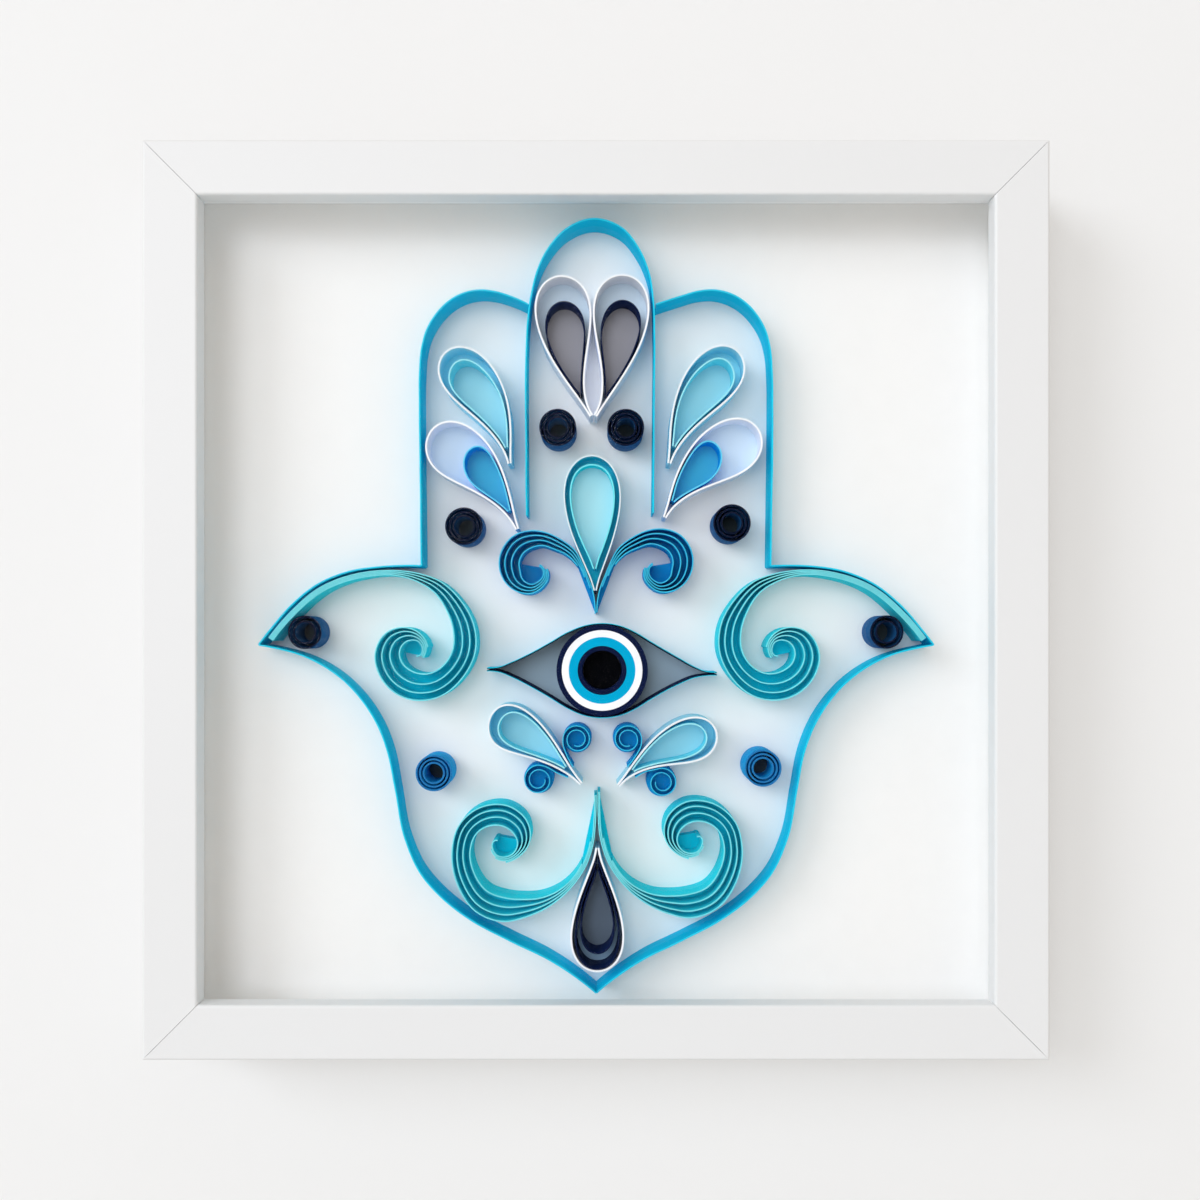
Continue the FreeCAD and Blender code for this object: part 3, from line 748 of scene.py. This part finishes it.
def drop_half_width(width, fullness, pitch, t):
    """Half of a drop's width; at the tip it leaves just the room for two tails side by side."""
    return width / 2 * swell(t, fullness) + pitch / 2 * (1 - t) ** 1.5


def drop_line(tip, bend, crown, width, fullness, pitch, steps=40):
    """A teardrop from its tip round the crown and back, tails side by side."""
    line = []
    for i in range(steps + 1):
        side = 2 * i / steps - 1
        point, way = spine(tip, bend, crown, 1 - side**2)
        half = drop_half_width(width, fullness, pitch, 1 - side**2)
        line.append(point - 1j * way * (half if side > 0 else -half))
    return smooth(line)


def nested_line(outer, pitch, start, reach, width, lean, steps=36):
    """A smaller teardrop that leans on the inside of an outer one."""
    tip, bend, crown, outer_width, fullness = outer
    line = []
    for i in range(steps + 1):
        side = 2 * i / steps - 1
        sign = 1 if side > 0 else -1
        t = start + (reach - start) * (1 - side**2)
        room = drop_half_width(outer_width, fullness, pitch, t) - pitch
        spare = room - width / 2
        shift = lean * (spare + hypot(spare, width / 10)) / 2
        own = width / 2 * swell(1 - side**2, 1.3) + pitch / 2 * abs(side) ** 3
        limit = max(room - sign * shift, pitch / 2)
        own = own * limit / (own**6 + limit**6) ** (1 / 6)
        point, way = spine(tip, bend, crown, t)
        line.append(point - 1j * way * (shift + sign * own))
    return smooth(line)


white_paper, drop_paper, tail_gap = 0.55, 0.4, 0.08
print("a teardrop has", len(drop_line(0, 10j, 20j, 12, 1.5, 0.5)), "points")

# %% [markdown]
# There are ten outer drops and eleven inside them: the white heart with navy drops in it in the
# middle finger, two pairs in the outer fingers, the tall one in the palm, two leaves, and the
# dark one at the point of the hand. Each row gives the tip, the bend, the crown, the width and
# how full the tip end is, and the inner rows where they start and end on the outer drop, width
# and lean. A card lies in every drop but the liner at the point, and each row of `drop_cards`
# ends with its thickness in millimetres. An inner card is a little thicker than the one around
# it, so it is the one that shows. The cards' colours are painted light: painted bounce light and
# bluish shade between the pale strips, and painted shade in the navy drops.

# %% The teardrops
drops = {
    "heart_petal_left": (-1.35 + 52.5j, -9.3 + 64.8j, -9.9 + 92.1j, 15.5, 2.1),
    "heart_petal_right": (-0.2 + 52.5j, 7.5 + 65.2j, 7.4 + 92.4j, 15.5, 2.1),
    "upper_drop_outer_left": (-24.5 + 39j, -27.2 + 56.9j, -43.1 + 69.9j, 14.2, 1.5),
    "upper_drop_outer_right": (20.8 + 39j, 24.9 + 57.7j, 40.7 + 70.2j, 14.2, 1.5),
    "lower_drop_outer_left": (-22.4 + 20.4j, -29.3 + 38.2j, -47.4 + 47j, 15.2, 1.6),
    "lower_drop_outer_right": (19.4 + 23.6j, 26.6 + 39.6j, 46.4 + 47.5j, 15.2, 1.6),
    "leaf_outer_left": (-4.3 - 51.8j, -16.4 - 38.1j, -30.2 - 33.6j, 12.6, 1.7),
    "leaf_outer_right": (6.3 - 52.4j, 15.8 - 40.8j, 34.3 - 37.6j, 12.2, 1.9),
    "centre_drop_outer": (-0.3 + 3j, -0.9 + 19.5j, -1.3 + 41.2j, 15.9, 1.35),
    "bottom_drop_outer": (0.4 - 70j, 0.4 - 85.2j, 0.3 - 105j, 14.8, 1.5),
}
nested_drops = {
    "heart_inner_left": ("heart_petal_left", 0.22, 0.86, 11.6, 0.1),
    "heart_inner_right": ("heart_petal_right", 0.22, 0.86, 11.6, 0.3),
    "upper_drop_inner_left": ("upper_drop_outer_left", 0.13, 0.9, 11.2, -0.6),
    "upper_drop_inner_right": ("upper_drop_outer_right", 0.13, 0.9, 11.2, 0.6),
    "lower_drop_inner_left": ("lower_drop_outer_left", 0.15, 0.7, 9.6, 0.8),
    "lower_drop_inner_right": ("lower_drop_outer_right", 0.15, 0.7, 9.6, -0.8),
    "leaf_inner_left": ("leaf_outer_left", 0.18, 0.9, 10, 0.3),
    "leaf_inner_right": ("leaf_outer_right", 0.2, 0.92, 9.8, -0.3),
    "centre_drop_inner": ("centre_drop_outer", 0.18, 0.94, 13.4, 0.0),
    "bottom_drop_liner": ("bottom_drop_outer", 0.12, 0.985, 14, 0.0),
    "bottom_drop_inner": ("bottom_drop_outer", 0.2, 0.87, 9.6, 0.0),
}
drop_papers = {
    "heart_petal": (plain_paper, "white_paper", white_paper),
    "upper_drop_outer": (cyan_bounce_white_paper, "white_paper", white_paper),
    "lower_drop_outer": (plain_paper, "white_paper", white_paper),
    "leaf_outer": (cyan_bounce_white_paper, "white_paper", white_paper),
    "bottom_drop_outer": (plain_paper, "white_paper", white_paper),
    "centre_drop_outer": (lagoon_paper, "turquoise_paper", drop_paper),
    "centre_drop_inner": (turquoise_paper, "turquoise_paper", drop_paper),
    "heart_inner": (navy_paper, "navy_paper", drop_paper),
    "upper_drop_inner": (pale_paper, "turquoise_paper", drop_paper),
    "lower_drop_inner": (azure_paper, "azure_paper", drop_paper),
    "leaf_inner": (pale_paper, "pale_blue_paper", drop_paper),
    "bottom_drop": (navy_paper, "navy_paper", drop_paper),
}


def paper_of(name):
    """The first row whose name starts the piece's name."""
    return next(row for start, row in drop_papers.items() if name.startswith(start))


drop_cards = {
    "upper_drop_outer": (cyan_bounce_card, "pale_blue_paper", 2.4),
    "leaf_outer": (cyan_bounce_card, "pale_blue_paper", 2.4),
    "heart_petal": (lilac_card, "white_paper", 3),
    "lower_drop_outer": (lilac_card, "white_paper", 3),
    "bottom_drop_outer": (dusk_card, "navy_paper", 2),
    "heart_inner": (grey_card, "white_paper", 3.2),
    "upper_drop_inner": (pale_card, "pale_blue_paper", 2.6),
    "lower_drop_inner": (azure_card, "azure_paper", 3.2),
    "leaf_inner": (pale_card, "pale_blue_paper", 2.6),
    "centre_drop_outer": (lagoon_card, "turquoise_paper", 4.6),
    "centre_drop_inner": (water_card, "pale_blue_paper", 4.8),
    "bottom_drop_inner": (night_card, "navy_paper", 2.2),
}
drop_lines = {
    name: drop_line(*shape, paper_of(name)[2] + tail_gap) for name, shape in drops.items()
} | {
    name: nested_line(drops[outer], white_paper + tail_gap, *rest)
    for name, (outer, *rest) in nested_drops.items()
}
for name, line in drop_lines.items():
    material, slot, paper = paper_of(name)
    stand(name + "_strip", [line], paper, material, [name])
    for start, (colour, card_slot, rise) in drop_cards.items():
        if name.startswith(start):
            lay(name + "_card", line, colour, rise)

# %% [markdown]
# A tight roll is one long strip wound on itself round the quilling tool, which leaves a hole.
# From the front many turns look like rings, so a roll is built as closed rings here. A thin
# dark card lies under it: painted shade in the gaps between the turns.


# %% The tight rolls
def round_turns(centre, outer, inner, pitch):
    """Rings of paper that fill the room between two radii, and their true pitch."""
    count = max(1, round((outer - inner) / pitch))
    pitch = (outer - inner) / count
    radii = [inner + (i + 0.5) * pitch for i in range(count)]
    rings = [[centre + radius * turned(6 * i) for i in range(60)] for radius in radii]
    return rings, pitch


coils = {
    "coil_finger_left": (-10.9 + 49.2j, 5.5, 2.4),
    "coil_finger_right": (8.4 + 49.2j, 5.5, 2.4),
    "coil_palm_left": (-37.5 + 21.2j, 5.6, 2.4),
    "coil_palm_right": (38.5 + 22.1j, 5.6, 2.4),
    "coil_thumb_left": (-82.6 - 8.9j, 5.2, 2.3),
    "coil_thumb_right": (82.4 - 8.8j, 5.2, 2.3),
    "coil_base_left": (-46 - 48.8j, 5.4, 2.4),
    "coil_base_right": (47.3 - 47.4j, 5.5, 2.4),
}
coil_paper, coil_pitch = 0.5, 1.2
for name, (centre, radius, hole) in coils.items():
    rings, _ = round_turns(centre, radius, hole, coil_pitch)
    material = ring_paper if "base" in name else roll_paper
    # The dark card is painted shade under the roll's turns.
    lay(name + "_card", rings[-1], dark_card)
    stand(name + "_roll", rings, coil_paper, material, [name], sway=0.1,
          closed=True)

# %% [markdown]
# The eye is four such rolls, each wound round the one before in another colour, and a low black
# one inside. Each lid is two papers glued together, blue outside and navy inside, and the lids
# run side by side in a short tail at each corner of the eye.

# %% The eye
eye_centre = 1.7 - 19.7j
eye_paper, ring_gap = 0.4, 0.1
eye_rings = {
    "eye_ring_navy": (12.9, 11.5, navy_paper, "navy_paper"),
    "eye_ring_white": (11.4, 9.5, plain_paper, "white_paper"),
    "eye_ring_cyan": (9.4, 7.0, cyan_paper, "cyan_paper"),
    "eye_ring_inner": (6.9, 5.7, navy_paper, "navy_paper"),
}
for name, (outer, inner, material, slot) in eye_rings.items():
    rings, pitch = round_turns(eye_centre, outer + ring_gap / 2, inner - ring_gap / 2, eye_paper)
    stand(name + "_roll", rings, pitch, material, [name], sway=0, closed=True)
pupil_height, pupil_hole = 2.5 * mm, 0.01
rings, pitch = round_turns(eye_centre, 5.6, pupil_hole, eye_paper)
stand("eye_pupil_roll", rings, pitch, black_paper, ["eye_pupil"],
      height=pupil_height, sway=0, closed=True)

eye_top_points = [
    -31 - 19.1j, -27.8 - 18.9j, -23.8 - 17.4j, -18.7 - 15j, -13.1 - 11.9j, -8 - 8.9j,
    -3.4 - 7.1j, 1.7 - 6.4j, 6.8 - 7.1j, 11.3 - 9.1j, 15.3 - 11.6j, 23.8 - 16.6j,
    28 - 18.9j, 31.1 - 20.1j, 34.2 - 20.3j,
]
eye_bottom_points = [
    -31 - 19.8j, -27.8 - 20j, -23.8 - 21.5j, -18.7 - 24.1j, -13.1 - 27.3j, -8 - 30.4j,
    -3.4 - 32.4j, 1.7 - 33.1j, 6.8 - 32.4j, 11.3 - 30.4j, 15.3 - 27.9j, 23.8 - 23.3j,
    28 - 21.6j, 31.1 - 21.1j, 34.2 - 21j,
]
lids = {"top": smooth(eye_top_points), "bottom": smooth(eye_bottom_points)}
# The slate card between the lids is painted shade inside the eye.
lay("eye_card", lids["top"] + lids["bottom"][::-1], slate_card)
lid_paper = 0.2
for side, inward in (("top", lid_paper / 2), ("bottom", -lid_paper / 2)):
    stand(f"eye_lid_{side}_outside", [beside(lids[side], -inward)], lid_paper, sky_paper,
          ["eye_outline"])
    stand(f"eye_lid_{side}_inside", [beside(lids[side], inward)], lid_paper, navy_paper,
          ["eye_outline"])

# %% [markdown]
# A scroll is four strips glued together at one end, fanned out over the bend and rolled in
# together at the other. Each row of a scroll is an angle and a radius about its eye, and how
# far the fan is spread there. Each strip takes its share of the spread and lies one paper
# further in than the last, so where the spread is nothing they touch. A thick card lies in the
# fan, between its first strip and its last, and another in the eye, inside the last three
# quarters of a turn. Their colour is painted bounce light off the scroll's strips.


# %% The scrolls
def scroll_lines(eye, stations, strips, pitch):
    """Fanned strips of a scroll; a station is an angle, a radius and a spread."""
    lines = []
    inward = pitch if stations[-1][0] < stations[0][0] else -pitch
    for i, (share, first, last) in enumerate(strips):
        line = [
            eye + (radius - share * spread) * turned(angle)
            for angle, radius, spread in stations
        ]
        lines.append(beside(line, i * inward)[first:last])
    return lines


scroll_paper = 0.33
thumb_scroll = {
    "eye": -51.6 - 14.5j,
    "stations": [
        (174.5, 41.3, 0), (162, 36.7, 0), (145, 32.2, 0), (124, 27.1, 0), (100, 23.4, 0.2),
        (86, 22.2, 1.1), (70, 21.3, 2.3), (48, 19.6, 3.8), (25, 18.5, 4.9), (0, 17.2, 5.2),
        (-28, 15.5, 5.3), (-62, 14.4, 6.1), (-100, 13.2, 6.6), (-142, 11.9, 6.1), (-180, 11, 5.6),
        (-216, 9.5, 4.4), (-260, 6.8, 2.1), (-300, 5, 0.6), (-340, 4.1, 0.3), (-395, 3.4, 0.3),
        (-440, 2.7, 0.3),
    ],
    "strips": [(0, 0, 19), (0.27, 0, 20), (0.6, 0, 20), (1, 0, 21)],
}
centre_scroll = {
    "eye": -18.4 + 8.7j,
    "stations": [
        (-34, 21.9, 0), (-16, 17.8, 0), (-6, 15.9, 0), (8, 14.4, 0.2), (24, 13.5, 1.2),
        (47, 12, 2.1), (70, 11.4, 2.6), (92, 11.2, 3.6), (120, 10.9, 4.4), (154, 9.8, 4.6),
        (187, 8.6, 4.2), (215, 7.8, 3.1), (243, 7.1, 2.1), (273, 6.5, 1.2), (300, 5.8, 0.7),
        (340, 5.1, 0.2), (365, 4.5, 0), (400, 3.6, 0),
    ],
    "strips": [(0, 0, 17), (0.27, 1, 17), (0.6, 2, 18), (1, 3, 18)],
}
lower_scroll = {
    "eye": -26.4 - 69.7j,
    "stations": [
        (29, 30.2, 0), (18, 27.7, 0), (3, 25.7, 0), (-13, 24.1, 0), (-35, 22.2, 0.4), (-55, 21.2, 2),
        (-73, 20.9, 4), (-88, 21.1, 5.4), (-111, 19.9, 5.4), (-140, 16.7, 4.5), (-174, 14.5, 3.9),
        (-208, 13.8, 4.2), (-242, 12.8, 4.6), (-280, 11.6, 4.7), (-316, 9.8, 3.8), (-353, 7.4, 2),
        (-400, 5, 0.4), (-440, 4.5, 0.3), (-485, 4.2, 0), (-525, 4.2, 0), (-560, 4.4, 0),
        (-590, 4, 0), (-612, 3, 0),
    ],
    "strips": [(0, 0, 18), (0.27, 0, 19), (0.6, 2, 20), (1, 3, 23)],
}
scroll_pairs = {
    "thumb_scroll": (thumb_scroll, 0.3, 0.0, teal_paper, teal_card, "teal_paper"),
    "centre_scroll": (centre_scroll, 0.0, 0.4, blue_paper, blue_card, "blue_paper"),
    "lower_scroll": (lower_scroll, 0.3, 1.0, teal_paper, teal_card, "teal_paper"),
}
fan_card_rise, eye_card_rise = 3.6, 3.4
for name, (scroll, axis, lift, paper, inlay, slot) in scroll_pairs.items():
    lines = scroll_lines(**scroll, pitch=scroll_paper + tail_gap)
    twins = [mirrored(line, axis, lift) for line in lines]
    last_angle = scroll["stations"][-1][0]
    last_turn = sum(abs(angle - last_angle) < 270 for angle, *_ in scroll["stations"])
    for side, group in (("left", lines), ("right", twins)):
        stand(f"{name}_strips_{side}", [smooth(line) for line in group], scroll_paper, paper,
              [f"{name}_{side}"])
        between = smooth(group[0]) + smooth(group[-1])[::-1]
        # The fan card and the eye card are painted bounce light in the scroll's colour.
        lay(f"{name}_card_{side}", between, inlay, fan_card_rise)
        eye = smooth(group[-1][-last_turn:])
        lay(f"{name}_eye_card_{side}", eye, inlay, eye_card_rise)

# %% [markdown]
# Four small curls sit round the leaves. Each is a loose roll with a tail that is glued along the
# leaf. A row gives the middle, the radius, the angle where the roll begins, its turns, and the
# tail's points. A round card fills each roll to two thirds of its height, so that its blue
# shows: painted bounce light inside the roll.

# %% The curls
curls = {
    "curl_upper_left": (-5.4 - 39.2j, 4.1, 190, -1.85, [-6.5 - 47j, -8.3 - 43.8j]),
    "curl_upper_right": (8.9 - 39.2j, 4.1, -14, 1.85, [8.9 - 47j, 10.9 - 44.4j]),
    "curl_lower_left": (-16.4 - 50.7j, 4.3, 62, 1.85, [-8 - 50j, -11.2 - 48.6j]),
    "curl_lower_right": (18.7 - 51.6j, 4.3, 118, -1.85, [11.1 - 50.05j, 13.75 - 48.5j]),
}
curl_hole, curl_paper, curl_card_rise = 1.9, 0.28, 6.5
for name, (centre, radius, start, turns, tail) in curls.items():
    roll = [
        centre + (radius + (curl_hole - radius) * i / 21) * turned(start + 360 * turns * i / 21)
        for i in range(22)
    ]
    stand(name + "_strip", [smooth(tail + roll, 0.4)], curl_paper, blue_paper, [name])
    round_card = [centre + radius * turned(10 * i) for i in range(36)]
    lay(name + "_card", round_card, blue_card, curl_card_rise)

# %% [markdown]
# The frame, the boards and the metal keep the model's own shapes and only get a surface. The
# rails are white lacquer over a close grain. The hardboard and the metal have the same grain in
# finer forms, so the grain is a shared group. The board is white card. The glass is a clean
# pane: its surface is nearly all clear, so only a breath of it is seen.


# %% Frame, boards, glass and metal
def grain_group():
    """A fine noise, drawn out along one direction, as a height."""
    tree = bpy.data.node_groups.new("drawn grain", "ShaderNodeTree")
    tree.interface.new_socket("Scale", in_out="INPUT", socket_type="NodeSocketFloat")
    tree.interface.new_socket("Stretch", in_out="INPUT", socket_type="NodeSocketVector")
    tree.interface.new_socket("Relief", in_out="OUTPUT", socket_type="NodeSocketFloat")
    given = tree.nodes.new("NodeGroupInput")
    result = tree.nodes.new("NodeGroupOutput")
    place = tree.nodes.new("ShaderNodeTexCoord")
    drawn = tree.nodes.new("ShaderNodeMapping")
    noise = tree.nodes.new("ShaderNodeTexNoise")
    noise.inputs["Detail"].default_value = 4
    connect(tree, [
        (place.outputs["Object"], drawn.inputs["Vector"]),
        (given.outputs["Stretch"], drawn.inputs["Scale"]),
        (drawn.outputs[0], noise.inputs["Vector"]),
        (given.outputs["Scale"], noise.inputs["Scale"]),
        (noise.outputs["Fac"], result.inputs["Relief"]),
    ])
    return tree


drawn_grain = grain_group()


def relief(tree, surface, scale, stretch, depth):
    """Puts the grain on a surface, finer with a larger scale."""
    group = tree.nodes.new("ShaderNodeGroup")
    group.node_tree = drawn_grain
    group.inputs["Scale"].default_value = scale
    group.inputs["Stretch"].default_value = stretch
    bumped(tree, surface, group.outputs["Relief"], depth, 0.4)


def lacquer(name, stretch):
    material, tree, surface = new_material(name, hue(232, 232, 232), 0.45, 0.3)
    surface.inputs["Coat Weight"].default_value = 0.08
    surface.inputs["Coat Roughness"].default_value = 0.3
    relief(tree, surface, 60, stretch, 0.03)
    return material


lying_lacquer = lacquer("white lacquer across", (1, 6, 6))
upright_lacquer = lacquer("white lacquer up", (6, 6, 1))
mount_card = card("white mount card", hue(247, 246, 244))
spacer_card = card("spacer card", hue(252, 252, 252))
hardboard, board_tree, board_surface = new_material("brown hardboard", hue(150, 112, 76), 0.6, 0.4)
relief(board_tree, board_surface, 500, (1, 1, 1), 0.08)
steel, steel_tree, steel_surface = new_material("zinc plated steel", hue(190, 192, 196), 0.34)
steel_surface.inputs["Metallic"].default_value = 1
relief(steel_tree, steel_surface, 700, (1, 1, 1), 0.02)
glass, _, glass_surface = new_material("clear glass", (1, 1, 1), 0.02, 0.5)
glass_surface.inputs["Alpha"].default_value = 0.03
glass_surface.inputs["Transmission Weight"].default_value = 1
glass_surface.inputs["IOR"].default_value = 1.5

surfaces = {
    "bottom_rail": lying_lacquer, "top_rail": lying_lacquer,
    "left_rail": upright_lacquer, "right_rail": upright_lacquer,
    "mount_board": mount_card, "spacers": spacer_card, "backboard": hardboard,
    "glazing_sheet": glass, "framer_points": steel, "corner_v_nails": steel,
    "hanger": steel, "hanger_rivets": steel,
}
for name, material in surfaces.items():
    nodes[name].data.materials.clear()
    nodes[name].data.materials.append(material)
print(len(surfaces), "nodes of the model have their surface")

# %% Finish
print("solid", [[round(c, 4) for c in v] for v in solid_box])
